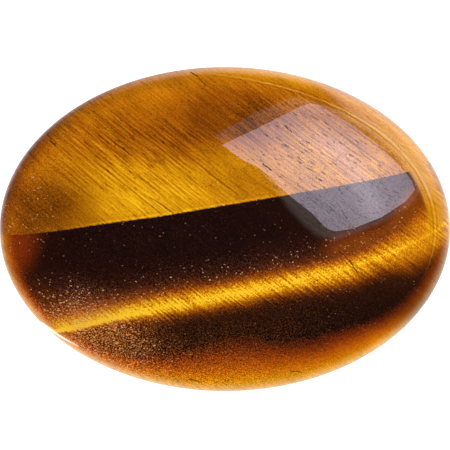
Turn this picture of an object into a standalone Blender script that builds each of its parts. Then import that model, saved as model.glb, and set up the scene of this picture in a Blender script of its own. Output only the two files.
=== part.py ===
"""Polished oval tiger's eye cabochon: one stone with a domed top, a low girdle and a flat ground back.

Units are metres, +Z is up. The origin is the centre of the flat back, the long axis lies along X.
"""
import math

import bmesh
import bpy

# Driving dimensions
LENGTH = 0.025            # longest side of the oval, along X
WIDTH = 0.018             # shorter side of the oval, along Y
HEIGHT = 0.0062           # flat back to the top of the dome
GIRDLE_TOP = 0.0012       # height at which the dome starts
GIRDLE_LEAN = 0.00010     # how far the girdle wall draws in towards the back
BACK_CHAMFER = 0.00035    # ground edge around the flat back
DOME_EXPONENT = 2.15      # 2 is a plain ellipsoid, more gives a flatter crown and a tighter shoulder

# Fineness of the faceted solid
DOME_ROWS = 22
STEPS_AROUND = 112
MERGE_DISTANCE = 1e-7
SMOOTH_ANGLE = math.radians(28)

STONE_COLOUR = (0.33, 0.13, 0.018, 1.0)
STONE_ROUGHNESS = 0.12
STONE_METALLIC = 0.0


def clear_scene():
    for item in list(bpy.data.objects):
        bpy.data.objects.remove(item, do_unlink=True)


def dome_point(angle):
    """Point of the dome's profile: a superellipse from the girdle (angle 0) to the crown (90 degrees)."""
    power = 2 / DOME_EXPONENT
    radius = LENGTH / 2 * math.cos(angle) ** power
    rise = (HEIGHT - GIRDLE_TOP) * math.sin(angle) ** power
    return radius, GIRDLE_TOP + rise


def stone_profile():
    """Radius and height of each point from the back's edge, over the girdle, to the crown."""
    half_length = LENGTH / 2
    foot_radius = half_length - GIRDLE_LEAN
    profile = [
        (foot_radius - BACK_CHAMFER, 0.0),
        (foot_radius, BACK_CHAMFER),
    ]
    for row in range(DOME_ROWS):
        profile.append(dome_point(math.pi / 2 * row / DOME_ROWS))
    profile.append((0.0, HEIGHT))
    return profile


def turn_oval(profile):
    """Turns the profile around Z, closes the back with one flat face and narrows the round to an oval."""
    mesh = bmesh.new()
    points = [mesh.verts.new((radius, 0.0, height)) for radius, height in profile]
    edges = [mesh.edges.new(pair) for pair in zip(points, points[1:])]
    bmesh.ops.spin(
        mesh,
        geom=points + edges,
        axis=(0, 0, 1),
        cent=(0, 0, 0),
        angle=2 * math.pi,
        steps=STEPS_AROUND,
        use_duplicate=False,
    )
    bmesh.ops.remove_doubles(mesh, verts=mesh.verts[:], dist=MERGE_DISTANCE)
    open_edges = [edge for edge in mesh.edges if edge.is_boundary]
    bmesh.ops.contextual_create(mesh, geom=open_edges)
    bmesh.ops.scale(mesh, vec=(1.0, WIDTH / LENGTH, 1.0), verts=mesh.verts[:])
    bmesh.ops.recalc_face_normals(mesh, faces=mesh.faces[:])
    return mesh


def stone_material():
    material = bpy.data.materials.new("tigers_eye")
    material.use_nodes = True
    shader = material.node_tree.nodes["Principled BSDF"]
    shader.inputs["Base Color"].default_value = STONE_COLOUR
    shader.inputs["Roughness"].default_value = STONE_ROUGHNESS
    shader.inputs["Metallic"].default_value = STONE_METALLIC
    return material


def make_cabochon():
    mesh = turn_oval(stone_profile())
    data = bpy.data.meshes.new("cabochon")
    mesh.to_mesh(data)
    mesh.free()
    data.shade_smooth()
    data.set_sharp_from_angle(angle=SMOOTH_ANGLE)
    data.materials.append(stone_material())
    stone = bpy.data.objects.new("cabochon", data)
    bpy.context.scene.collection.objects.link(stone)
    return stone


clear_scene()
make_cabochon()
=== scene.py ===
import math
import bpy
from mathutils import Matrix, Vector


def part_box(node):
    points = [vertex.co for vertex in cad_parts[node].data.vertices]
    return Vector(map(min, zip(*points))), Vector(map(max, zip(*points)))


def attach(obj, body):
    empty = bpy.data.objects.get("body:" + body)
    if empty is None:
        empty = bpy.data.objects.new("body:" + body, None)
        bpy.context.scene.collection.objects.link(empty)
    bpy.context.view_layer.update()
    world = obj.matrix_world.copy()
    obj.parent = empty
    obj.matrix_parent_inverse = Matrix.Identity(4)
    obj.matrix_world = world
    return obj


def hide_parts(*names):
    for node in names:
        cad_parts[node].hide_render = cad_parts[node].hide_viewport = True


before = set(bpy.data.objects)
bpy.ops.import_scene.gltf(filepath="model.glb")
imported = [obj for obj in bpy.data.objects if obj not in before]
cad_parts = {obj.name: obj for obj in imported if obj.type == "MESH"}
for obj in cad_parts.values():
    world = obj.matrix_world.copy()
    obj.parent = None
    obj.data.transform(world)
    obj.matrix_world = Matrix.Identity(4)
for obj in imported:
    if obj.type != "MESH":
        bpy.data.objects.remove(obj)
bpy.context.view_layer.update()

import types

import bpy
import numpy as np

mm = 0.001

view = {
    "picture": 450,            # px, both ways
    "lens": 300.0,             # mm
    "sensor": 36.0,            # mm
    "outline": 450.27,         # px that the stone's length takes up
    "centre": (225.0, 229.0),  # px, centre of the stone's outline
    "nearest": 0.01,           # m, how near and how far the camera sees
    "furthest": 10.0,
    "rayMoves": 40,            # moves that bring a view ray to the dome
}

stone = {
    "girdleTop": 1.2 * mm,      # height where the dome starts
    "girdleLean": 0.10 * mm,    # the wall draws in this much towards the back
    "chamfer": 0.35 * mm,       # ground edge round the back
    "domeExponent": 2.15,       # 2 is a plain ellipsoid, more is a flatter crown
    "slopeStep": 0.001 * mm,    # the dome's slope is read over this distance
    "stepsAround": 420,
    "domeRows": 150,
    "wallRows": 5,
    "backRows": 14,
    "handPolish": 0.007 * mm,   # how far the polish wanders from the true dome
    "polishScale": 5 * mm,
    "polishWaves": ((3.1, 1.3, 0.4), (-1.7, 3.7, 2.1), (4.9, -2.6, 4.0), (1.2, 5.6, 5.2)),
    "sharpAngle": 28,           # degrees
}

low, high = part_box("cabochon")
stone["length"] = high.x - low.x
stone["width"] = high.y - low.y
stone["height"] = high.z - low.z
stone["rise"] = stone["height"] - stone["girdleTop"]


def domeHeight(x, y):
    # superellipse: girdle + rise * (1 - r^n)^(1/n), where r is 0 at the crown and 1 on the outline
    n = stone["domeExponent"]
    r = np.minimum(np.hypot(2 * x / stone["length"], 2 * y / stone["width"]), 1)
    return stone["girdleTop"] + stone["rise"] * (1 - r ** n) ** (1 / n)


def unit(vectors):
    return vectors / np.linalg.norm(vectors, axis=-1, keepdims=True)


def domeNormal(x, y):
    # minus the slope of the dome in x and y, and 1 upwards, brought to length one
    step = stone["slopeStep"]
    slopeX = (domeHeight(x + step, y) - domeHeight(x - step, y)) / (2 * step)
    slopeY = (domeHeight(x, y + step) - domeHeight(x, y - step)) / (2 * step)
    return unit(np.stack([-slopeX, -slopeY, np.ones_like(slopeX)], axis=-1))


def profileRows():
    # radius and height: across the flat back, round its chamfer, up the girdle, over the dome
    half = stone["length"] / 2
    foot = half - stone["girdleLean"]
    backEdge = foot - stone["chamfer"]
    across = np.linspace(0, 1, stone["backRows"])
    back = np.stack([backEdge * across, np.zeros_like(across)], axis=1)
    climb = np.arange(stone["wallRows"]) / stone["wallRows"]
    wallHeight = stone["chamfer"] + climb * (stone["girdleTop"] - stone["chamfer"])
    wall = np.stack([foot + climb * stone["girdleLean"], wallHeight], axis=1)
    angle = np.linspace(0, math.pi / 2, stone["domeRows"])
    power = 2 / stone["domeExponent"]
    domeRadius = half * np.cos(angle).clip(0) ** power
    dome = np.stack([domeRadius, stone["girdleTop"] + stone["rise"] * np.sin(angle) ** power], axis=1)
    return np.concatenate([back, wall, dome])


def handPolish(x, y):
    # a sum of sine waves running different ways across the stone, between -1 and 1
    waves = np.zeros_like(x)
    for alongX, alongY, start in stone["polishWaves"]:
        waves += np.sin((alongX * x + alongY * y) / stone["polishScale"] + start)
    return waves / len(stone["polishWaves"])


def addPiece(name, mesh):
    piece = bpy.data.objects.new(name, mesh)
    bpy.context.scene.collection.objects.link(piece)
    return piece


def carriedRound(name, profile, squeeze, lift):
    # each profile point goes round Z on an oval: x = radius cos a, y = radius squeeze sin a, z = height;
    # the first and last points are poles, closed by fans, and lift moves the grid's points in z
    count = stone["stepsAround"]
    angle = np.arange(count) / count * 2 * math.pi
    radius = profile[1:-1, 0][:, None]
    height = profile[1:-1, 1][:, None]
    x = radius * np.cos(angle)
    y = radius * squeeze * np.sin(angle)
    z = height + lift(x, y, height + 0 * x)
    grid = np.stack([x, y, z], axis=-1).reshape(-1, 3)
    crown = profile[-1:, 1]
    crownZ = float((crown + lift(np.zeros(1), np.zeros(1), crown))[0])
    points = np.concatenate([[[0, 0, profile[0, 1]]], grid, [[0, 0, crownZ]]])
    rows = len(profile) - 2
    ring = np.arange(count)
    following = (ring + 1) % count
    start = 1 + np.arange(rows - 1)[:, None] * count
    quads = np.stack([start + ring, start + following,
                      start + count + following, start + count + ring], axis=-1).reshape(-1, 4)
    foot = np.stack([np.zeros(count, int), 1 + following, 1 + ring], axis=-1)
    last = 1 + (rows - 1) * count
    top = np.stack([last + ring, last + following, np.full(count, len(points) - 1)], axis=-1)
    mesh = bpy.data.meshes.new(name)
    mesh.from_pydata(points.tolist(), [], quads.tolist() + foot.tolist() + top.tolist())
    mesh.update()
    return addPiece(name, mesh)


def polishedDown(x, y, height):
    # how far hand polishing takes the surface down: nothing at the girdle, more with the root of the height
    share = ((height - stone["girdleTop"]) / stone["rise"]).clip(0, 1)
    return -stone["handPolish"] * (1 - handPolish(x, y)) / 2 * np.sqrt(share)


def makeStone():
    piece = carriedRound("tigersEye", profileRows(), stone["width"] / stone["length"], polishedDown)
    piece.data.shade_smooth()
    piece.data.set_sharp_from_angle(angle=math.radians(stone["sharpAngle"]))
    return piece


class Wire:
    # one output socket of a node tree; + - * / and ** on it add Math nodes
    def __init__(self, tree, socket=None):
        self.tree = tree
        self.socket = socket

    def node(self, kind, settings=None, sockets=None, output=0):
        # any node: its settings are set first, then the values or links of its sockets
        made = self.tree.nodes.new(kind)
        for name, value in (settings or {}).items():
            if name == "stops":
                fillRamp(made.color_ramp, value)
            else:
                setattr(made, name, value)
        for name, value in (sockets or {}).items():
            if isinstance(value, Wire):
                self.tree.links.new(value.socket, made.inputs[name])
            else:
                made.inputs[name].default_value = value
        return Wire(self.tree, made.outputs[output] if made.outputs else None)

    def math(self, operation, *values):
        return self.node("ShaderNodeMath", {"operation": operation}, dict(enumerate((self,) + values)))

    def __add__(self, other):
        return self.math("ADD", other)

    def __radd__(self, other):
        return self.math("ADD", other)

    def __sub__(self, other):
        return self.math("SUBTRACT", other)

    def __rsub__(self, other):
        return self.node("ShaderNodeMath", {"operation": "SUBTRACT"}, {0: other, 1: self})

    def __mul__(self, other):
        return self.math("MULTIPLY", other)

    def __rmul__(self, other):
        return self.math("MULTIPLY", other)

    def __truediv__(self, other):
        return self.math("DIVIDE", other)

    def __rtruediv__(self, other):
        return self.node("ShaderNodeMath", {"operation": "DIVIDE"}, {0: other, 1: self})

    def __pow__(self, other):
        return self.math("POWER", other)

    def clamp(self):
        return self.node("ShaderNodeClamp", None, {"Value": self})

    def length(self, other):
        # of the flat vector that has these two as its sides
        return (self * self + other * other).math("SQRT")

    def rises(self, start, end, strength=1.0):
        # 0 below start, strength above end, smooth between
        return self.node("ShaderNodeMapRange", {"interpolation_type": "SMOOTHSTEP"},
                         {"Value": self, "From Min": start, "From Max": end, "To Max": strength})

    def falls(self, start, end, strength=1.0):
        # strength below start, 0 above end, smooth between
        return self.node("ShaderNodeMapRange", {"interpolation_type": "SMOOTHSTEP"},
                         {"Value": self, "From Min": start, "From Max": end,
                          "To Min": strength, "To Max": 0.0})

    def hump(self, middle, reach, strength=1.0):
        # strength at middle, smoothly down to 0 at reach to either side
        return (self - middle).math("ABSOLUTE").falls(0, reach, strength)

    def stepped(self, first, *changes):
        # first at the low end, then each change: where it begins and ends, and how much it adds
        return sum(self.rises(*change) for change in changes) + first

    def along(self, direction):
        # how far a place lies in that direction
        return self.node("ShaderNodeVectorMath", {"operation": "DOT_PRODUCT"},
                         {0: self, 1: direction}, output="Value")

    def stretched(self, scale, shift):
        # a place times scale, axis by axis, and then moved by shift
        return self.node("ShaderNodeVectorMath", {"operation": "MULTIPLY_ADD"},
                         {0: self, 1: scale, 2: shift})

    def scaled(self, factor):
        return self.node("ShaderNodeVectorMath", {"operation": "SCALE"}, {0: self, "Scale": factor})

    def colours(self, stops):
        return self.node("ShaderNodeValToRGB", {"stops": stops}, {"Fac": self})

    def between(self, first, second, blend="MIX"):
        # colour that goes from first to second as this value goes from 0 to 1
        return self.node("ShaderNodeMix", {"data_type": "RGBA", "blend_type": blend},
                         {"Factor": self, 6: first, 7: second}, output=2)

    def place(self, x, y, z):
        return self.node("ShaderNodeCombineXYZ", None, {0: x, 1: y, 2: z})

    def noise(self, scale, detail, roughness=0.5):
        return self.node("ShaderNodeTexNoise", {"noise_dimensions": "3D"},
                         {"Vector": self, "Scale": scale, "Detail": detail, "Roughness": roughness})


def fillRamp(ramp, stops):
    while len(ramp.elements) > 1:
        ramp.elements.remove(ramp.elements[-1])
    for index, (position, colour) in enumerate(stops):
        stop = ramp.elements[0] if index == 0 else ramp.elements.new(position)
        stop.position = position
        stop.color = (*colour, 1.0)


def polynomial(x, terms):
    # terms[0] + terms[1] x + terms[2] x^2 ..., from the highest down
    total = x * terms[-1] + terms[-2]
    for term in reversed(terms[:-2]):
        total = total * x + term
    return total


# The stone's own pattern. Places are millimetres from the centre of the flat back. Unless a note says
# otherwise, two numbers are where a smooth step starts and ends, and a third is its strength. A side of the
# stone is (right, back, 0). A cloud is x, y, long reach, short reach, turn in degrees, strength.
pattern = {
    "layerLean": 0.2,           # layers shift this many mm in y for each mm of height
    "cloudFade": (0.15, 1.0),   # share of a cloud's reach over which it fades
    "fibres": {
        "acrossX": (0.0, 0.615, -0.002),   # they run down to the right, a little steeper at the left
        "acrossY": 0.793,
        "alongWay": (0.790, -0.610, 0),
        "wander": (0.25, 1.0),             # noise scale and detail
        "wanderBy": 0.12,                  # mm
        # noise drawn out along the fibres: scale across, along and up; shift; detail; roughness
        "fine": ((14.0, 0.80, 0.7), (0, 0, 0), 0.5, 0.5),
        "medium": ((5.5, 0.30, 0.5), (0, 0, 0), 1.0, 0.6),
        "broad": ((1.1, 0.22, 0.3), (0, 0, 7), 1.0, 0.5),
        "soft": ((0.9, 0.45, 0.3), (5, 3, 0), 1.5, 0.5),
        "dark": ((10.0, 0.15, 0.4), (17, 0, 0), 0.0, 0.5),
        "pale": ((9.0, 0.18, 0.4), (41, 0, 0), 0.0, 0.5),
        "dash": ((13.0, 2.2, 1.0), (31, 0, 0), 0.0, 0.5),
        "darkThread": (0.27, 0.35),        # only the ends of the noise make a thread or a dash
        "paleThread": (0.64, 0.74),
        "darkDash": (0.24, 0.34),
        "ribs": (30.0, 7.0, 3.5),          # radians for each mm across, bend by medium, start
        # noise that is the same all ways: scale, detail, roughness
        "grain": (12.0, 0.5, 0.6),
        "coarse": (8.0, 1.0, 0.6),
        "speck": (17.0, 0.0, 0.5),
        "sand": 3.0,                       # grain, centred, times this
    },
    "gold": (
        (0.00, (0.0070, 0.0028, 0.0022)),
        (0.15, (0.030, 0.0085, 0.003)),
        (0.30, (0.115, 0.029, 0.002)),
        (0.45, (0.27, 0.078, 0.002)),
        (0.60, (0.47, 0.172, 0.003)),
        (0.75, (0.68, 0.295, 0.004)),
        (0.90, (0.90, 0.47, 0.008)),
        (1.00, (1.00, 0.58, 0.025)),
    ),
    "amber": (
        (0.00, (0.0085, 0.0028, 0.0024)),
        (0.15, (0.030, 0.0062, 0.003)),
        (0.30, (0.115, 0.021, 0.002)),
        (0.45, (0.27, 0.055, 0.003)),
        (0.60, (0.47, 0.125, 0.003)),
        (0.80, (0.77, 0.30, 0.006)),
        (1.00, (0.97, 0.52, 0.05)),
    ),
    # the shoulder between the growth lines and the outline, on the right and at the back, painted lighter
    # with a pale painted reflection
    "shoulder": {
        "shape": ((1.25, 1.55), (0.927, 0.375, 0), (0.76, 0.92)),
        "inset": (0.7, 1.0),
        "back": (0.14, 0.36),
        "pale": (0.64, 0.34, 0.13, 1),
        "strength": 0.45,
        "sand": 0.15,
    },
    # the gold layer at the back
    "upper": {
        "edge": (1.273, 0.166, -0.00268),      # y of the vein's edge, as a polynomial of x
        "edgeLines": {"fine": 0.05, "sand": 0.02},
        "edgeDip": (-7, -3, 0.09),
        "edgeSoft": (-11.8, -8.0, 0.40),       # at the left end the edge is blurred
        "edgeWidth": (-0.03, 0.04),
        "edgeFade": (0.0, 0.8),
        # painted glint along the vein's edge, and where along x it starts and ends
        "brightEdge": (0.09, 0.08, 0.28),      # middle, reach, strength
        "brightEdgeFrom": (-9, -7),
        "brightEdgeTo": (1, 6),
        "level": 0.60,
        # the shoulder's share here is painted light, part of the pale painted band on the shoulder
        "levelLines": {"medium": 0.04, "broad": 0.03, "shoulder": 0.10},
        "clouds": (
            (-4.5, 2.2, 5.6, 3.0, -5, 0.29),
            (0.7, 6.0, 5.6, 2.8, 0, -0.24),
            (-4.7, 3.7, 4.9, 4.0, -37, -0.16),
            (-10.3, 1.2, 6.0, 2.4, 9, -0.21),
            (7.0, 5.6, 4.2, 2.2, -38, -0.13),
            (-9.8, 5.0, 3.4, 1.4, 40, -0.07),
            (-6.0, 1.4, 3.2, 1.2, 8, 0.06),
            (0.0, 6.3, 1.7, 1.5, 0, 0.07),
            (8.0, 4.2, 1.9, 1.6, -40, 0.07),
            (-12.3, 0.8, 1.6, 2.4, 0, 0.13),
            (-8.2, 1.8, 1.9, 1.3, 10, -0.02),
            (-6.3, 4.6, 2.8, 2.0, -37, 0.04),
            (0.2, 4.2, 1.8, 1.4, -30, 0.07),
        ),
        "contrast": 0.24,                      # of the lines, more in these clouds
        "contrastLeft": (-12.0, -7.5, 0.04),
        "contrastClouds": (
            (-4.2, 3.0, 8.0, 4.2, -30, 0.70),
            (0.7, 5.4, 5.6, 2.2, 0, 0.12),
        ),
        "lines": {"fine": 0.52, "ribs": 0.11, "dark": -0.20, "dash": -0.20, "pale": 0.08},
        # painted to the look under the lamp's reflection: where it falls, lines, grain and amber differ and
        # the colour is a touch darker
        "underLamp": (5.8, 3.5, 7.0, 4.4, -30, 1.0),
        "lampLines": {"fine": 0.30, "ribs": 0.075, "dash": -0.255, "dark": -0.075, "pale": 0.045},
        "lampShade": -0.01,
        # strength everywhere, and what is added under the lamp
        "sand": (0.075, 0.12),
        "soft": (0.15, -0.075),
        "amberBack": (0.55, -0.50),
        # painted light and shade along the outline, lighter or darker by side: inset it fades over, side, how
        # it keeps to it, strength
        "outline": (
            ((0.1, 0.5), (0, 1, 0), (0.80, 0.96), 0.11),
            ((0.0, 0.5), (0.8, 0.6, 0), (0.80, 1.00), -0.05),
            ((0.1, 1.15), (-0.71, 0.70, 0), (0.50, 0.95), -0.17),
            ((0.2, 0.9), (-1, 0, 0), (0.75, 0.95), -0.03),
        ),
        # painted light: a lighter band a little in from the outline at the back
        "backBand": ((0.3, 0.9), (0, 1, 0), (0.5, 1.0), 0.07),
        "backBandFrom": (0.1, 0.4),
        "amberEdge": (1.8, 4.2),
        "amberInset": (0.2, 1.2),
        "amberLeft": (-12, -9.0, 0.5),
        "amberSoft": (0.02, 0.8),              # added to the soft noise, then its strength
    },
    # the streak of light: a band of golden fibres with their chatoyant sheen painted into the colour, height
    # / (1 + (distance / width)^power), wider to the right. Where a number comes before the steps, it is the
    # value at the left end
    "streak": {
        "line": (-3.677, 0.1992, -0.00298, 0.00072),
        "waviness": {"fine": 0.16, "medium": 0.10},
        "widthAbove": (0.93, (-9, -5, -0.10), (-4, 2, -0.14), (6.5, 10.5, 0.75), (9.5, 12, 1.5)),
        "bulgesAbove": ((2.2, 1.8, 0.06), (-0.2, 1.8, -0.06)),   # middle, reach, strength
        "widthBelow": (0.22, (-7, -2, 0.36), (2.5, 8.5, 0.40), (8.4, 10.6, 0.45)),
        "height": (0.60, (-9.6, -7.5, 0.10), (-8, -4, 0.22), (3, 10, -0.24)),
        "power": 2.4,
        "powerBelow": (2, 8, 1.0),
        "core": (0, 0.20),                     # middle and reach
        "coreHeight": (0.46, (-9.6, -7.5, -0.12), (-7, -3, -0.25)),
        "paintedSheen": (0, 0.5),                     # middle and reach
        "sheenHeight": (0, (5, 9, 0.10), (9, 11, -0.10)),
        "lines": {"fine": 0.85, "ribs": 0.16, "dark": -0.18, "pale": 0.06, "sand": 0.34},
        "calm": (1, (8.5, 11.5, -0.5)),
    },
    # the dark bands either side of the streak
    "bands": {
        "clouds": (
            (-7.6, -6.0, 7.0, 3.8, -20, 0.26),
            (-1.5, -1.0, 7.0, 2.6, 8, -0.03),
        ),
        "leftWarmth": (-11.5, -8.0, 0.10),
        "broad": 0.05,
        "warmFrom": (3.6, 6.5),                # the warm brown above the streak, at the right
        "warmLift": (8.5, 10.5, 1.2),
        "warmBelow": (1.2, 2.9),
        "warmAbove": (-0.2, 0.3),
        "warmth": 0.37,
        "warmLines": {"fine": 0.10, "sand": 0.04},
        # painted light: the lower bands are made lighter on the right shoulder
        "shoulderFrom": (-1.2, 0.6),
        "shoulder": 0.66,
        "shoulderRim": (0.0, 0.5, 0.15),
        "shoulderLines": 0.2,
        "amberFade": (0.62, 0.92),
        "amberLimit": (0.12, (-8.5, -5.0, -0.12), (-1, 3, 0.04)),
        "amberShare": (1.0, (-8.5, -5.0, -0.10)),
        "amberBelow": (-0.6, 0.0, 0.3),
        "amberRight": (1.0, (10.6, 12, -0.6)),
        "redEnd": (-11.7, -1.1, 2.8, 1.9, 65, 0.75),
        "red": (0.26, 0.034, 0.003, 1),
    },
    # painted glow: amber light as if held in the thin edge, painted into the colour; its reach grows with a
    # power of how far to the front it is
    "rim": {
        "glow": (
            (0.00, (0.80, 0.38, 0.010)),
            (0.12, (0.80, 0.34, 0.006)),
            (0.26, (0.63, 0.185, 0.002)),
            (0.40, (0.48, 0.100, 0.002)),
            (0.58, (0.27, 0.042, 0.003)),
            (0.74, (0.12, 0.017, 0.003)),
            (0.88, (0.045, 0.008, 0.003)),
            (1.00, (0.0, 0.0, 0.0)),
        ),
        "reach": 0.6,
        "frontReach": 1.80,
        "frontPower": (5.1, -4.0),             # in the middle, and how it changes to the right
        "leftEnd": (-0.99, -0.90),
        "leftReach": 0.35,
        "bulges": ((-0.78, 0.18, 0.30), (-0.30, 0.45, -0.34), (0.62, 0.12, 0.06)),   # as for the streak
        "rightShort": (0.66, 0.85, 0.14),
        "lines": {"medium": 0.2, "broad": 0.3, "sand": 0.167},
        "reachScale": 1.42,
        "fine": 0.07,
        "front": (-0.12, 0.20),
        "notchSide": (0.9455, -0.3256, 0),
        "notch": (0.90, 0.99, 0.62),
        "leftDim": 0.38,
    },
    # copper dust, and a few brighter sparks near the streak and at the left end
    "dust": {
        "leftLow": (-8.3, -5.4, 8.0, 3.4, -22, 1.0),
        "leftRim": (-11.0, 0.8, 3.0, 3.4, 0, 0.8),
        "nearStreak": (0.6, 2.2),              # middle and reach
        "bottomInset": (0.8, 3.5),
        "bottomBack": (-1, -0.3),
        "bottomTo": (-2, 7),
        "lowBand": (-3.0, -0.8),
        "lowBandTo": (-2, 8),
        "upperFrom": (-10.5, -7),
        "amount": 0.035,
        "amounts": {"leftLow": 0.75, "leftRim": 0.20, "nearStreak": 0.16, "bottom": 0.04, "lowBand": 0.12},
        "crossed": 0.30,                       # less dust where the left end meets the low band
        "bareRim": (0.3, 2.4, 0.7),
        "bareRimFrom": (-6.5, -3),
        "bareLeft": (-9.8, -7.6, 0.88),
        "streakLeft": ((-5, -2), (-9.3, -8.2), 0.3),
        "onStreak": (0.28, 0.62, 0.85),
        "specks": (0.52, 0.68, 0.66),
        "grains": (0.54, 0.72, 0.30),
        "tone": (-0.6, 0.6),
        "dull": (0.36, 0.125, 0.070, 1),
        "bright": (0.78, 0.245, 0.045, 1),
        "mottle": {"sand": 0.5, "pepper": 2.7},
        "mottled": 0.38,
        "mottles": {"bottom": 0.44, "leftLow": 0.34, "lowBand": 0.25},
        "smoothStreak": (0.2, 0.7),
        "smoothRight": (0.5, 0.9),
        "smoothRim": (0.1, 0.6, 0.65),
        "sideLines": {"fine": 0.8, "dash": -0.15, "soft": 0.5, "pale": 0.1},
        "sideInset": (0.15, 0.9),
        "cells": (8.5, 6.5, 6.0),              # sparks for each mm across, along and up
        "cellWander": (9.0, 0.0),
        "spark": (0.10, 0.38),                 # from the middle of its cell
        "chance": (0.94, 1.20),
        "sparks": 0.03,
        "sparkPlaces": {"leftRim": 0.25, "nearStreak": 0.30, "bottom": 0.14},
        "sparksLeft": 1.7,
        "sparksLeftEnd": (-11, -8.5, 0.7),
        "sparkStrength": 0.9,
        "sparkGold": (0.92, 0.52, 0.14, 1),
        "sparkRose": (0.80, 0.45, 0.32, 1),
    },
    # a thin gold line between dark ones, following the shoulder on the right and at the back
    "growth": {
        "inset": (0.55, 1.75, -1.45),
        "waviness": 0.10,
        "side": (0.75, 0.66, 0),
        "spread": (0.50, 0.80),
        "patches": (0.6, 1.2),                 # even share, and what the broad noise adds
        "dark": (0.16, 0.05, 0.006, 1),
        "gold": (0.85, 0.42, 0.04, 1),
        "lines": (                             # distance from the middle, half width, strength, colour
            (0.12, 0.060, 0.65, "dark"),
            (-0.11, 0.050, 0.45, "dark"),
            (0.27, 0.045, 0.45, "dark"),
            (0.0, 0.050, 0.75, "gold"),
        ),
    },
    "flaws": {
        # short cracks and pits: start x, y, end x, y, half width
        "cracks": (
            (6.20, -1.20, 6.75, -1.70, 0.030),
            (6.75, -1.70, 7.20, -2.35, 0.048),
            (-1.90, 8.65, -1.50, 8.40, 0.05),
            (-1.45, 8.30, -1.05, 7.85, 0.035),
            (-9.60, 4.85, -9.30, 4.60, 0.05),
            (3.28, 5.65, 3.62, 5.28, 0.035),
            (2.05, 3.55, 2.50, 3.20, 0.045),
            (-1.95, -8.25, -1.45, -8.38, 0.045),
            (3.60, -7.80, 4.25, -7.88, 0.035),
            (-4.10, 1.75, -2.80, 0.88, 0.03),
        ),
        "ragged": 0.12,
        "core": 0.3,                           # share of the half width that is fully dark
        "pits": (0.22, 0.30, 0.5),
        "strength": 0.93,
        "colour": (0.012, 0.005, 0.003, 1),
    },
    "polish": {
        "index": 1.54,
        "coatRoughness": 0.02,
        "roughness": 0.45,
        "flawed": 0.9,                         # how much of the polish a flaw takes away
        "scratches": {"dash": 0.35, "dark": 0.15},
        "scratchGrain": (0.45, 0.70, 0.30),
        "relief": {"fine": 0.7, "medium": 0.3},
        "flawDepth": 1.5,
        "bump": 0.35,
        "bumpHeight": 0.02 * mm,
        # the back and its edge are ground, not polished
        "ground": (0.30, 0.42),
        "groundRoughness": 0.25,
        "groundStrength": 0.3,
        "groundColour": (0.42, 0.33, 0.25, 1),
    },
}


def cloud(spot, middleX, middleY, longReach, shortReach, turn, strength):
    # strength at the middle of a turned oval, fading smoothly to nothing at its edge
    c = math.cos(math.radians(turn))
    s = math.sin(math.radians(turn))
    along = ((spot.x - middleX) * c + (spot.y - middleY) * s) / longReach
    across = ((spot.y - middleY) * c - (spot.x - middleX) * s) / shortReach
    return along.length(across).falls(*pattern["cloudFade"], strength)


def clouds(spot, items):
    return sum(cloud(spot, *item) for item in items)


def woven(spot, weights):
    # the named parts of the pattern added up, each times its weight
    return sum(getattr(spot, name) * weight for name, weight in weights.items())


def atOutline(spot, inset, side, spread, strength=1.0):
    # strength close to the outline on one side of the stone, fading inwards and round it
    return spot.inset.falls(*inset) * spot.way.along(side).rises(*spread, strength)


def lineDistance(x, y, startX, startY, endX, endY):
    # distance to the nearest point of the line from start to end
    runX = endX - startX
    runY = endY - startY
    run = runX * runX + runY * runY
    share = (((x - startX) * runX + (y - startY) * runY) / run).clamp()
    return (x - startX - share * runX).length(y - startY - share * runY)


def readPlace(start):
    # where a point lies: x, y, z, its layer, how far in from the outline, and which way round
    spot = types.SimpleNamespace()
    spot.here = start.node("ShaderNodeTexCoord", output="Object").scaled(1 / mm)
    spot.x = spot.here.along((1, 0, 0))
    spot.y = spot.here.along((0, 1, 0))
    spot.z = spot.here.along((0, 0, 1))
    spot.level = spot.y + (spot.z - stone["height"] / mm) * pattern["layerLean"]
    halfLength = stone["length"] / 2 / mm
    halfWidth = stone["width"] / 2 / mm
    spot.ovalX = spot.x / halfLength
    ovalY = spot.y / halfWidth
    oval = spot.ovalX.length(ovalY).math("MAXIMUM", 0.01)      # never 0, since it divides
    slope = (spot.ovalX / halfLength).length(ovalY / halfWidth) / oval
    spot.inset = (1 - oval) / slope.math("MAXIMUM", 1 / halfLength)
    spot.right = spot.ovalX / oval
    spot.back = ovalY / oval
    spot.way = start.place(spot.right, spot.back, 0)
    spot.shoulder = atOutline(spot, *pattern["shoulder"]["shape"])
    return spot


def drawFibres(start, spot):
    # streaks, threads, dashes and ribs along the fibres, and grain that is the same all ways
    own = pattern["fibres"]
    wander = spot.here.noise(*own["wander"]) * own["wanderBy"]
    across = polynomial(spot.x, own["acrossX"]) + spot.y * own["acrossY"] + wander
    spot.fibrePlace = start.place(across, spot.here.along(own["alongWay"]), spot.z)

    def streaks(name):
        scale, shift, detail, roughness = own[name]
        return spot.fibrePlace.stretched(scale, shift).noise(1.0, detail, roughness)

    spot.fine = streaks("fine") - 0.5
    spot.medium = streaks("medium") - 0.5
    spot.broad = streaks("broad") - 0.5
    spot.soft = streaks("soft") - 0.5
    spot.dark = streaks("dark").falls(*own["darkThread"])
    spot.pale = streaks("pale").rises(*own["paleThread"])
    spot.dash = streaks("dash").falls(*own["darkDash"])
    turns, bend, begin = own["ribs"]
    spot.ribs = (across * turns + spot.medium * bend + begin).math("SINE") * 0.5
    spot.grain = spot.here.noise(*own["grain"])
    spot.sand = (spot.grain - 0.5) * own["sand"]
    spot.coarse = spot.here.noise(*own["coarse"]) - 0.5
    spot.speck = spot.here.noise(*own["speck"])
    spot.pepper = spot.speck - 0.5


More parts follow.
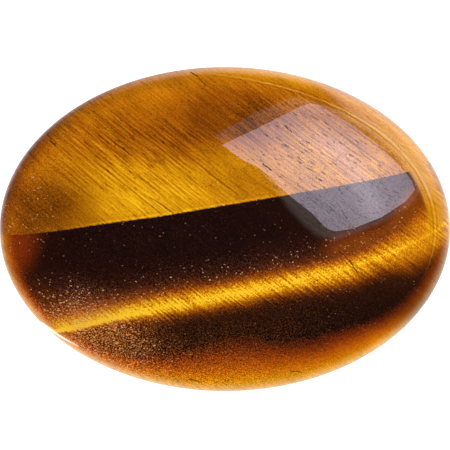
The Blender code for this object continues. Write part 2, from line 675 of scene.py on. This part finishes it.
def upperGold(spot):
    # how much of the upper layer shows, and its colour: brown and gold clouds, streaked by the fibres
    own = pattern["upper"]
    edge = spot.level - polynomial(spot.x, own["edge"]) + woven(spot, own["edgeLines"])
    edge = edge - spot.x.falls(*own["edgeDip"])
    soft = spot.x.falls(*own["edgeSoft"])
    share = (edge / (soft + 1)).rises(*own["edgeWidth"]) - soft * edge.falls(*own["edgeFade"])
    value = clouds(spot, own["clouds"]) + woven(spot, own["levelLines"]) + own["level"]
    contrast = clouds(spot, own["contrastClouds"]) + own["contrast"] - spot.x.falls(*own["contrastLeft"])
    # where the lamp's reflection falls, the colour is painted to its look there, a touch darker
    underLamp = cloud(spot, *own["underLamp"])

    def withLamp(everywhere, added):
        return underLamp * added + everywhere

    value = value + woven(spot, own["lines"]) * contrast + woven(spot, own["lampLines"]) * underLamp
    value = value + spot.sand * withLamp(*own["sand"]) + spot.soft * withLamp(*own["soft"])
    value = value + underLamp * own["lampShade"]
    # painted glint along the vein's edge
    brightPart = spot.x.rises(*own["brightEdgeFrom"]) * spot.x.falls(*own["brightEdgeTo"])
    value = value + edge.hump(*own["brightEdge"]) * brightPart * spot.grain
    # painted light and shade along the outline, and a lighter painted band at the back
    value = value + sum(atOutline(spot, *item) for item in own["outline"])
    value = value + atOutline(spot, *own["backBand"]) * spot.inset.rises(*own["backBandFrom"])
    value = value.clamp()
    patchShift, patchStrength = own["amberSoft"]
    patches = (spot.soft + patchShift) * (1 - underLamp) * patchStrength
    backAmber = edge.rises(*own["amberEdge"]) * spot.inset.rises(*own["amberInset"])
    amberShare = backAmber * withLamp(*own["amberBack"]) + spot.x.falls(*own["amberLeft"]) + patches
    colour = amberShare.clamp().between(value.colours(pattern["gold"]), value.colours(pattern["amber"]))
    return share.clamp(), paintedShoulderReflection(spot, colour)


def paintedShoulderReflection(spot, colour):
    # painted reflection: the shoulder pales inwards, up to the growth lines
    own = pattern["shoulder"]
    share = spot.shoulder * spot.inset.rises(*own["inset"]) * spot.back.rises(*own["back"])
    share = share * (spot.sand * own["sand"] + own["strength"])
    return share.clamp().between(colour, own["pale"])


def goldStreakAndPaintedSheen(spot):
    # brightness of the streak of light: golden fibres with their chatoyant sheen painted in as a finer bright
    # core and a broader sheen, and the fibres across it
    own = pattern["streak"]
    spot.lift = spot.level - polynomial(spot.x, own["line"]) + woven(spot, own["waviness"])
    widthAbove = spot.x.stepped(*own["widthAbove"]) + sum(spot.x.hump(*item) for item in own["bulgesAbove"])
    widthBelow = spot.x.stepped(*own["widthBelow"])
    below = spot.lift.math("LESS_THAN", 0.0)
    width = widthAbove + (widthBelow - widthAbove) * below
    power = below * spot.x.rises(*own["powerBelow"]) + own["power"]
    height = spot.x.stepped(*own["height"])
    spot.streak = height / ((spot.lift.math("ABSOLUTE") / width) ** power + 1)
    # painted sheen: a bright core and a broader sheen along the middle of the streak
    core = spot.lift.hump(*own["core"]) * spot.x.stepped(*own["coreHeight"])
    paintedSheen = spot.lift.hump(*own["paintedSheen"]) * spot.x.stepped(*own["sheenHeight"])
    lines = woven(spot, own["lines"]) * spot.x.stepped(*own["calm"])
    return spot.streak + core + paintedSheen + lines * spot.streak


def lowerBands(spot):
    # the dark bands either side of the streak, warmer at both ends
    own = pattern["bands"]
    streak = goldStreakAndPaintedSheen(spot)
    value = clouds(spot, own["clouds"]) + spot.x.falls(*own["leftWarmth"])
    value = value + spot.broad * own["broad"] + streak
    warmLift = spot.lift - spot.x.rises(*own["warmLift"])
    warmRight = spot.x.rises(*own["warmFrom"]) * warmLift.falls(*own["warmBelow"])
    warmRight = warmRight * spot.lift.rises(*own["warmAbove"]) * own["warmth"]
    value = value.math("MAXIMUM", warmRight + woven(spot, own["warmLines"]))
    # painted light on the right shoulder, and its pale painted reflection
    shoulderPart = spot.y.rises(*own["shoulderFrom"])
    onShoulder = spot.shoulder * shoulderPart
    paintedShoulderLight = onShoulder * (own["shoulder"] - spot.inset.falls(*own["shoulderRim"]))
    value = value.math("MAXIMUM", paintedShoulderLight + spot.fine * own["shoulderLines"]).clamp()
    amberShare = (value - spot.x.stepped(*own["amberLimit"])).falls(*own["amberFade"])
    amberShare = amberShare * (spot.x.stepped(*own["amberShare"]) - spot.lift.falls(*own["amberBelow"]))
    amberShare = amberShare * (1 - onShoulder) * spot.x.stepped(*own["amberRight"])
    colour = amberShare.between(value.colours(pattern["gold"]), value.colours(pattern["amber"]))
    colour = shoulderPart.between(colour, paintedShoulderReflection(spot, colour))
    return cloud(spot, *own["redEnd"]).between(colour, own["red"])


def paintedRimGlow(spot, colour):
    # the painted glow lightens the colour, by how far in a point is as a share of the glow's reach
    own = pattern["rim"]
    leftEnd = spot.right.falls(*own["leftEnd"])
    middlePower, powerToRight = own["frontPower"]
    front = (spot.back * -1).clamp() ** (spot.right * powerToRight + middlePower)
    reach = front * own["frontReach"] + leftEnd * own["leftReach"] + own["reach"]
    reach = reach + sum(spot.right.hump(*item) for item in own["bulges"])
    reach = reach - spot.right.rises(*own["rightShort"]) + woven(spot, own["lines"])
    share = spot.inset / (reach * own["reachScale"]) + spot.fine * own["fine"]
    notch = spot.way.along(own["notchSide"]).rises(*own["notch"])
    strength = spot.back.falls(*own["front"]) * (1 - notch) * (1 - leftEnd * own["leftDim"])
    return strength.clamp().between(colour, share.clamp().colours(own["glow"]), "LIGHTEN")


def findDust(spot, upper):
    # the places where dust and sparks gather, and how much of a point is clear of the streak
    own = pattern["dust"]
    spot.leftLow = cloud(spot, *own["leftLow"])
    spot.leftRim = cloud(spot, *own["leftRim"])
    spot.nearStreak = spot.lift.hump(*own["nearStreak"])
    spot.bottom = spot.inset.falls(*own["bottomInset"]) * spot.back.falls(*own["bottomBack"])
    spot.bottom = spot.bottom * spot.x.falls(*own["bottomTo"])
    spot.lowBand = spot.lift.falls(*own["lowBand"]) * spot.x.falls(*own["lowBandTo"])
    spot.below = 1 - upper * spot.x.rises(*own["upperFrom"])
    to, start, strength = own["streakLeft"]
    leftPart = spot.x.falls(*to) * spot.x.rises(*start, strength)
    spot.offStreak = 1 - (spot.streak - leftPart).rises(*own["onStreak"])


def copperDust(spot, colour):
    # specks and grains of copper over the colour, duller above the streak than below it
    own = pattern["dust"]
    amount = woven(spot, own["amounts"]) + own["amount"] - spot.leftLow * spot.lowBand * own["crossed"]
    amount = amount * (1 - spot.inset.falls(*own["bareRim"]) * spot.x.rises(*own["bareRimFrom"]))
    amount = amount * (1 - spot.x.falls(*own["bareLeft"])) * spot.below * spot.offStreak
    dust = (spot.speck.rises(*own["specks"]) + spot.grain.rises(*own["grains"])) * amount
    tone = spot.lift.falls(*own["tone"])
    return dust.clamp().between(colour, tone.between(own["dull"], own["bright"]))


def mottled(spot, colour, upper):
    # lighter and darker grains in the lower part, and fibre lines along its sides
    own = pattern["dust"]
    mottle = woven(spot, own["mottle"]) * (woven(spot, own["mottles"]) + own["mottled"]) * spot.below
    mottle = mottle * spot.streak.falls(*own["smoothStreak"]) * spot.right.falls(*own["smoothRight"])
    mottle = mottle * (1 - spot.inset.falls(*own["smoothRim"]))
    sides = woven(spot, own["sideLines"]) * spot.inset.falls(*own["sideInset"]) * (1 - upper)
    return colour.scaled(mottle + sides + 1)


def sparks(spot, colour):
    # at most one spark in each cell, its colour and whether it is there left to chance
    own = pattern["dust"]
    cells = spot.fibrePlace.stretched(own["cells"], spot.here.noise(*own["cellWander"]))
    sockets = {"Vector": cells, "Scale": 1.0}
    away = cells.node("ShaderNodeTexVoronoi", None, sockets, output="Distance")
    chance = cells.node("ShaderNodeTexVoronoi", None, sockets, output="Color")
    left = spot.leftLow ** 2 * own["sparksLeft"] * (1 - spot.x.falls(*own["sparksLeftEnd"]))
    near = woven(spot, own["sparkPlaces"]) + left + own["sparks"]
    there = (chance.along((1, 0, 0)) + near * spot.below).rises(*own["chance"])
    share = away.falls(*own["spark"]) * there * spot.offStreak * own["sparkStrength"]
    return share.clamp().between(colour, chance.along((0, 1, 0)).between(own["sparkGold"], own["sparkRose"]))


def growthLines(spot, colour):
    # lines at a distance from the outline that changes along the stone
    own = pattern["growth"]
    line = spot.inset - polynomial(spot.ovalX, own["inset"]) - spot.medium * own["waviness"]
    even, patchy = own["patches"]
    share = spot.way.along(own["side"]).rises(*own["spread"]) * (spot.broad * patchy + even).clamp()
    for middle, halfWidth, strength, shade in own["lines"]:
        colour = (line.hump(middle, halfWidth, strength) * share).between(colour, own[shade])
    return colour


def findFlaws(spot):
    # 1 in a crack or a pit, 0 on sound stone
    own = pattern["flaws"]
    flaws = spot.grain.falls(*own["pits"])
    raggedX = spot.x + spot.coarse * own["ragged"]
    for *ends, halfWidth in own["cracks"]:
        away = lineDistance(raggedX, spot.y, *ends)
        flaws = flaws.math("MAXIMUM", away.falls(halfWidth * own["core"], halfWidth))
    return flaws


def stoneMaterial():
    material, start = emptyMaterial("tigersEyePolished")
    spot = readPlace(start)
    drawFibres(start, spot)
    upper, upperColour = upperGold(spot)
    colour = upper.between(paintedRimGlow(spot, lowerBands(spot)), upperColour)
    findDust(spot, upper)
    colour = copperDust(spot, colour)
    colour = mottled(spot, colour, upper)
    colour = sparks(spot, colour)
    colour = growthLines(spot, colour)
    flaws = findFlaws(spot)
    colour = (flaws * pattern["flaws"]["strength"]).between(colour, pattern["flaws"]["colour"])
    own = pattern["polish"]
    ground = spot.z.falls(*own["ground"])
    colour = (ground * own["groundStrength"]).between(colour, own["groundColour"])
    scratches = (woven(spot, own["scratches"]) + spot.grain.rises(*own["scratchGrain"])).clamp()
    relief = woven(spot, own["relief"]) - flaws * own["flawDepth"]
    shader = start.node("ShaderNodeBsdfPrincipled", None, {
        "Base Color": colour,
        "Roughness": ground * own["groundRoughness"] + own["roughness"],
        "Specular IOR Level": 0.0,
        "IOR": own["index"],
        "Coat Weight": (1 - ground) * (1 - flaws * own["flawed"]) * (1 - scratches),
        "Coat Roughness": own["coatRoughness"],
        "Coat IOR": own["index"],
        "Normal": start.node("ShaderNodeBump", None, {
            "Strength": own["bump"], "Distance": own["bumpHeight"], "Height": relief}),
    })
    start.node("ShaderNodeOutputMaterial", None, {"Surface": shader})
    return material


studio = {
    # the lamp's reflection on the dome, px in the picture, round its outline
    "reflection": (
        (222, 145), (261, 127), (298, 108), (308, 103), (319, 105), (350, 124), (377, 144), (403, 169),
        (412, 181), (415, 190), (406, 201), (382, 217), (353, 229), (335, 232), (327, 229), (313, 214),
        (289, 195), (259, 167), (243, 160),
    ),
    "lampDistance": 0.30,       # m, from the stone to the lamp's face
    "lampColour": (0.98, 0.85, 1.0, 1),
    "lampRadiance": 4.1,
    "lampMiddle": (360, 176),   # px, where the lamp's reflection is brightest
    "middleSpread": (0.80, 1.0),
    "middleRadiance": 2.2,
    "lampBand": ((332, 145), (368, 192)),   # px, a brighter band across the lamp
    "bandReach": 0.17,
    "bandSpread": (0.90, 0.99),
    "bandRadiance": 2.3,
    # the same for the lamp's dim frame
    "frame": (
        (219, 144), (211, 136), (222, 128), (256, 110), (290, 96), (304, 93), (322, 95), (354, 115),
        (384, 134), (411, 160), (420, 180), (422, 191), (413, 206), (385, 224), (354, 237), (334, 244),
        (316, 240), (300, 226), (282, 206), (272, 190), (262, 175), (244, 162), (228, 149),
    ),
    "frameColour": (1.0, 0.80, 0.70, 1),
    "frameRadiance": 1.05,
    "frameFade": (0.92, 1.0),
    "frameBehind": 1.4,         # how much further off the frame is than the lamp's face
    "frameLowest": 0.02,        # how level the ray to the frame's lowest corner may be
    "outlineSteps": 96,
    "lights": {                 # place, size, power in watts
        "keyLight": ((0.16, 0.20, 0.22), 0.20, 0.45),
    },
    "roomAbove": (0.85, 0.85, 0.85, 1),
    "roomLevel": (1.0, 1.0, 1.0, 1),
    "horizon": (0.015, 0.05),
    "floorSize": 4.0,
    "floorColour": (0.8, 0.8, 0.8, 1),
    "floorRoughness": 0.9,
    "floorGlow": 0.75,
    # the table that the stone's rim mirrors; distances from the stone are in mm
    "table": {
        "height": 0.00002,      # m, clear of the floor
        "colour": (1, 0.97, 1, 1),
        "rimScale": 10.5,       # mm that one more times the stone's outline is worth
        "near": 0.78,           # radiance close to the stone
        "nearTo": (0.8, 7),
        "nearPower": 1.6,
        "far": 0.005,
        # sides of the stone: way, and how closely the change keeps to it
        "left": ((-0.94, 0.34, 0), (0.62, 0.98)),
        "backRight": ((0.6, 0.8, 0), (0.3, 0.9)),
        "backLeft": ((-0.31, 0.95, 0), (0.50, 0.95)),
        "frontLeft": ((-0.55, -0.83, 0), (0.90, 0.99)),
        "lampSide": ((0.81, 0.585, 0), (0.90, 0.965)),
        "rightEnd": ((0.995, 0.10, 0), (0.93, 1.0)),
        "leftLess": 0.80,
        "backRightMore": 0.45,
        "leftNear": (0.5, 2.2, 0.9),
        "backLeftLess": (0.9, 2.2, 0.30),
        "frontLeftTo": (5, 12, 0.15),
        "lampFrom": (0.8, 4.0, 1.45),
        "rightEndTo": (8, 20, 0.30),
        "rightEndFrom": (-0.12, 0.06),
        # light the stone gathers, left of the front
        "gathered": (-10.5, -6.0, -10.15, -9.0),
        "gatheredReach": (0.15, 0.50),
        "gatheredRadiance": 4.5,
    },
}


def cameraPlace():
    pxPerMetre = view["outline"] / stone["length"]
    pxPerRadian = view["picture"] * view["lens"] / view["sensor"]
    distance = pxPerRadian / pxPerMetre
    offset = (view["centre"][1] - view["picture"] / 2) / pxPerMetre
    return np.array([0.0, offset, distance + stone["girdleTop"]])


def stonePlace(pixels):
    # where the picture's points lie on the dome: each move goes half way to the dome's height on the view ray
    eye = cameraPlace()
    middle = view["picture"] / 2
    spread = view["sensor"] / view["lens"] / view["picture"]
    side = (pixels[:, 0] - middle) * spread
    up = (middle - pixels[:, 1]) * spread
    z = np.full(len(pixels), stone["girdleTop"])
    for _ in range(view["rayMoves"]):
        x = eye[0] + side * (eye[2] - z)
        y = eye[1] + up * (eye[2] - z)
        z = (z + domeHeight(x, y)) / 2
    return np.stack([x, y, z], axis=-1)


def reflectedRays(pixels):
    # start and direction of the view rays mirrored by the dome
    pixels = np.array(pixels, float).reshape(-1, 2)
    place = stonePlace(pixels)
    look = unit(place - cameraPlace())
    normal = domeNormal(place[:, 0], place[:, 1])
    return place, look - 2 * np.sum(look * normal, axis=1, keepdims=True) * normal


def flatPiece(name, size, z):
    # a level square about the stone's centre
    half = size / 2
    corners = [(-half, -half, z), (half, -half, z), (half, half, z), (-half, half, z)]
    mesh = bpy.data.meshes.new(name)
    mesh.from_pydata(corners, [], [(0, 1, 2, 3)])
    piece = addPiece(name, mesh)
    return piece


def onlyMirrored(piece):
    # seen in reflections, but not by the camera, and it neither lights nor shades anything
    piece.visible_camera = False
    piece.visible_shadow = False
    piece.visible_diffuse = False


def emptyMaterial(name):
    material = bpy.data.materials.new(name)
    material.use_nodes = True
    material.node_tree.nodes.clear()
    return material, Wire(material.node_tree)


def shining(start, colour, radiance, peak):
    # emission that goes from black to the full colour as the radiance goes from 0 to its peak
    shade = (radiance / peak).between((0, 0, 0, 1), colour)
    light = start.node("ShaderNodeEmission", None, {"Color": shade, "Strength": peak})
    start.node("ShaderNodeOutputMaterial", None, {"Surface": light})


def fan(name, middle, corners, material):
    # triangles from the middle to each side of the outline; outward is 0 at the middle and 1 on the outline
    ring = 1 + np.arange(len(corners))
    faces = np.stack([np.zeros(len(corners), int), ring, np.roll(ring, -1)], axis=1)
    mesh = bpy.data.meshes.new(name)
    mesh.from_pydata([middle.tolist()] + corners.tolist(), [], faces.tolist())
    outward = mesh.attributes.new("outward", "FLOAT", "POINT")
    outward.data.foreach_set("value", [0.0] + [1.0] * len(corners))
    mesh.materials.append(material)
    piece = addPiece(name, mesh)
    onlyMirrored(piece)


def roundOutline(pixels):
    # the closed outline at even steps along its sides
    closed = np.array(pixels + pixels[:1], float)
    run = np.concatenate([[0], np.cumsum(np.hypot(*np.diff(closed, axis=0).T))])
    step = np.linspace(0, run[-1], studio["outlineSteps"], endpoint=False)
    return np.stack([np.interp(step, run, closed[:, 0]), np.interp(step, run, closed[:, 1])], axis=1)


def lampMaterial():
    # brighter about its middle and along a band across it, by the way a point lies from the stone
    material, start = emptyMaterial("softLamp")
    brightest = reflectedRays(studio["lampMiddle"])[1][0]
    bandSide = unit(np.cross(*reflectedRays(studio["lampBand"])[1]))
    here = start.node("ShaderNodeTexCoord", output="Object")
    way = here.node("ShaderNodeVectorMath", {"operation": "NORMALIZE"}, {0: here})
    nearMiddle = way.along(tuple(brightest))
    band = way.along(tuple(bandSide)).hump(0, studio["bandReach"]) * nearMiddle.rises(*studio["bandSpread"])
    middle = nearMiddle.rises(*studio["middleSpread"], studio["middleRadiance"])
    radiance = middle + band * studio["bandRadiance"] + studio["lampRadiance"]
    peak = studio["lampRadiance"] + studio["middleRadiance"] + studio["bandRadiance"]
    shining(start, studio["lampColour"], radiance, peak)
    return material


def frameMaterial():
    material, start = emptyMaterial("softLampFrame")
    outward = start.node("ShaderNodeAttribute", {"attribute_name": "outward"}, output="Fac")
    fade = outward.falls(*studio["frameFade"], studio["frameRadiance"])
    shining(start, studio["frameColour"], fade, studio["frameRadiance"])
    return material


def makeLamp():
    # a curved soft panel: each point of its edge lies on the mirrored ray of one point of the outline
    place, mirrored = reflectedRays(roundOutline(studio["reflection"]))
    middle = unit(mirrored.mean(axis=0))
    distance = studio["lampDistance"]
    fan("softLamp", middle * distance, place + mirrored * distance, lampMaterial())
    place, mirrored = reflectedRays(roundOutline(studio["frame"]))
    mirrored[:, 2] = mirrored[:, 2].clip(studio["frameLowest"])
    behind = distance * studio["frameBehind"]
    fan("softLampFrame", middle * behind, place + mirrored * behind, frameMaterial())


def areaLight(name, place, size, power):
    data = bpy.data.lights.new(name, "AREA")
    data.shape = "DISK"
    data.size = size
    data.energy = power
    light = addPiece(name, data)
    light.location = place
    light.rotation_euler = (-light.location).to_track_quat("-Z", "Y").to_euler()
    light.visible_glossy = False
    light.visible_camera = False


def makeFloor():
    floor = flatPiece("floor", studio["floorSize"], 0)
    floor.visible_glossy = False
    material, start = emptyMaterial("paleFloor")
    shader = start.node("ShaderNodeBsdfPrincipled", None, {
        "Base Color": studio["floorColour"],
        "Roughness": studio["floorRoughness"],
        "Specular IOR Level": 0.0,
        "Emission Color": (1, 1, 1, 1),
        "Emission Strength": studio["floorGlow"],
    })
    start.node("ShaderNodeOutputMaterial", None, {"Surface": shader})
    floor.data.materials.append(material)


def makeTableCard():
    # what the stone's rim mirrors: pale table close by, dark further out, bright on the lamp's side
    own = studio["table"]
    card = flatPiece("tableCard", studio["floorSize"], own["height"])
    onlyMirrored(card)
    material, start = emptyMaterial("tableCard")
    here = start.node("ShaderNodeTexCoord", output="Object").scaled(1 / mm)
    x = here.along((1, 0, 0))
    y = here.along((0, 1, 0))
    oval = (x / (stone["length"] / 2 / mm)).length(y / (stone["width"] / 2 / mm))
    away = (oval - 1) * own["rimScale"]
    far = x.length(y).math("MAXIMUM", 1.0)      # never 0, since it divides
    back = y / far
    way = start.place(x / far, back, 0)

    def towards(name):
        side, spread = own[name]
        return way.along(side).rises(*spread)

    left = towards("left")
    near = away.falls(*own["nearTo"]) ** own["nearPower"]
    near = near * (1 - left * own["leftLess"] + towards("backRight") * own["backRightMore"])
    near = near + left * away.falls(*own["leftNear"])
    near = near * (1 - towards("backLeft") * away.falls(*own["backLeftLess"])) * own["near"]
    lamp = towards("lampSide") * away.rises(*own["lampFrom"])
    frontLeft = towards("frontLeft") * away.falls(*own["frontLeftTo"])
    rightEnd = towards("rightEnd") * back.rises(*own["rightEndFrom"]) * away.falls(*own["rightEndTo"])
    gathered = lineDistance(x, y, *own["gathered"]).falls(*own["gatheredReach"], own["gatheredRadiance"])
    radiance = near + lamp + frontLeft + rightEnd + gathered + own["far"]
    shining(start, own["colour"], radiance, own["gatheredRadiance"])
    card.data.materials.append(material)


def makeRoom():
    world = bpy.data.worlds.new("room")
    bpy.context.scene.world = world
    world.use_nodes = True
    world.node_tree.nodes.clear()
    start = Wire(world.node_tree)
    height = start.node("ShaderNodeTexCoord", output="Generated").along((0, 0, 1))
    colour = height.rises(*studio["horizon"]).between(studio["roomLevel"], studio["roomAbove"])
    background = start.node("ShaderNodeBackground", None, {"Color": colour, "Strength": 1.0})
    world.cycles_visibility.glossy = False
    start.node("ShaderNodeOutputWorld", None, {"Surface": background})
    bpy.context.scene.view_settings.view_transform = "Standard"


def makeStudio():
    makeLamp()
    for name, (place, size, power) in studio["lights"].items():
        areaLight(name, place, size, power)
    makeFloor()
    makeTableCard()
    makeRoom()


def makeCamera():
    data = bpy.data.cameras.new("overheadCamera")
    data.lens = view["lens"]
    data.sensor_width = view["sensor"]
    data.clip_start = view["nearest"]
    data.clip_end = view["furthest"]
    camera = addPiece("overheadCamera", data)
    camera.location = cameraPlace()
    bpy.context.scene.camera = camera


makeCamera()
print("camera placed")
stonePiece = makeStone()
stonePiece.data.materials.append(stoneMaterial())
print("stone made:", len(stonePiece.data.polygons), "faces")
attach(stonePiece, "root")
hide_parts("cabochon")
makeStudio()
print("studio lit")
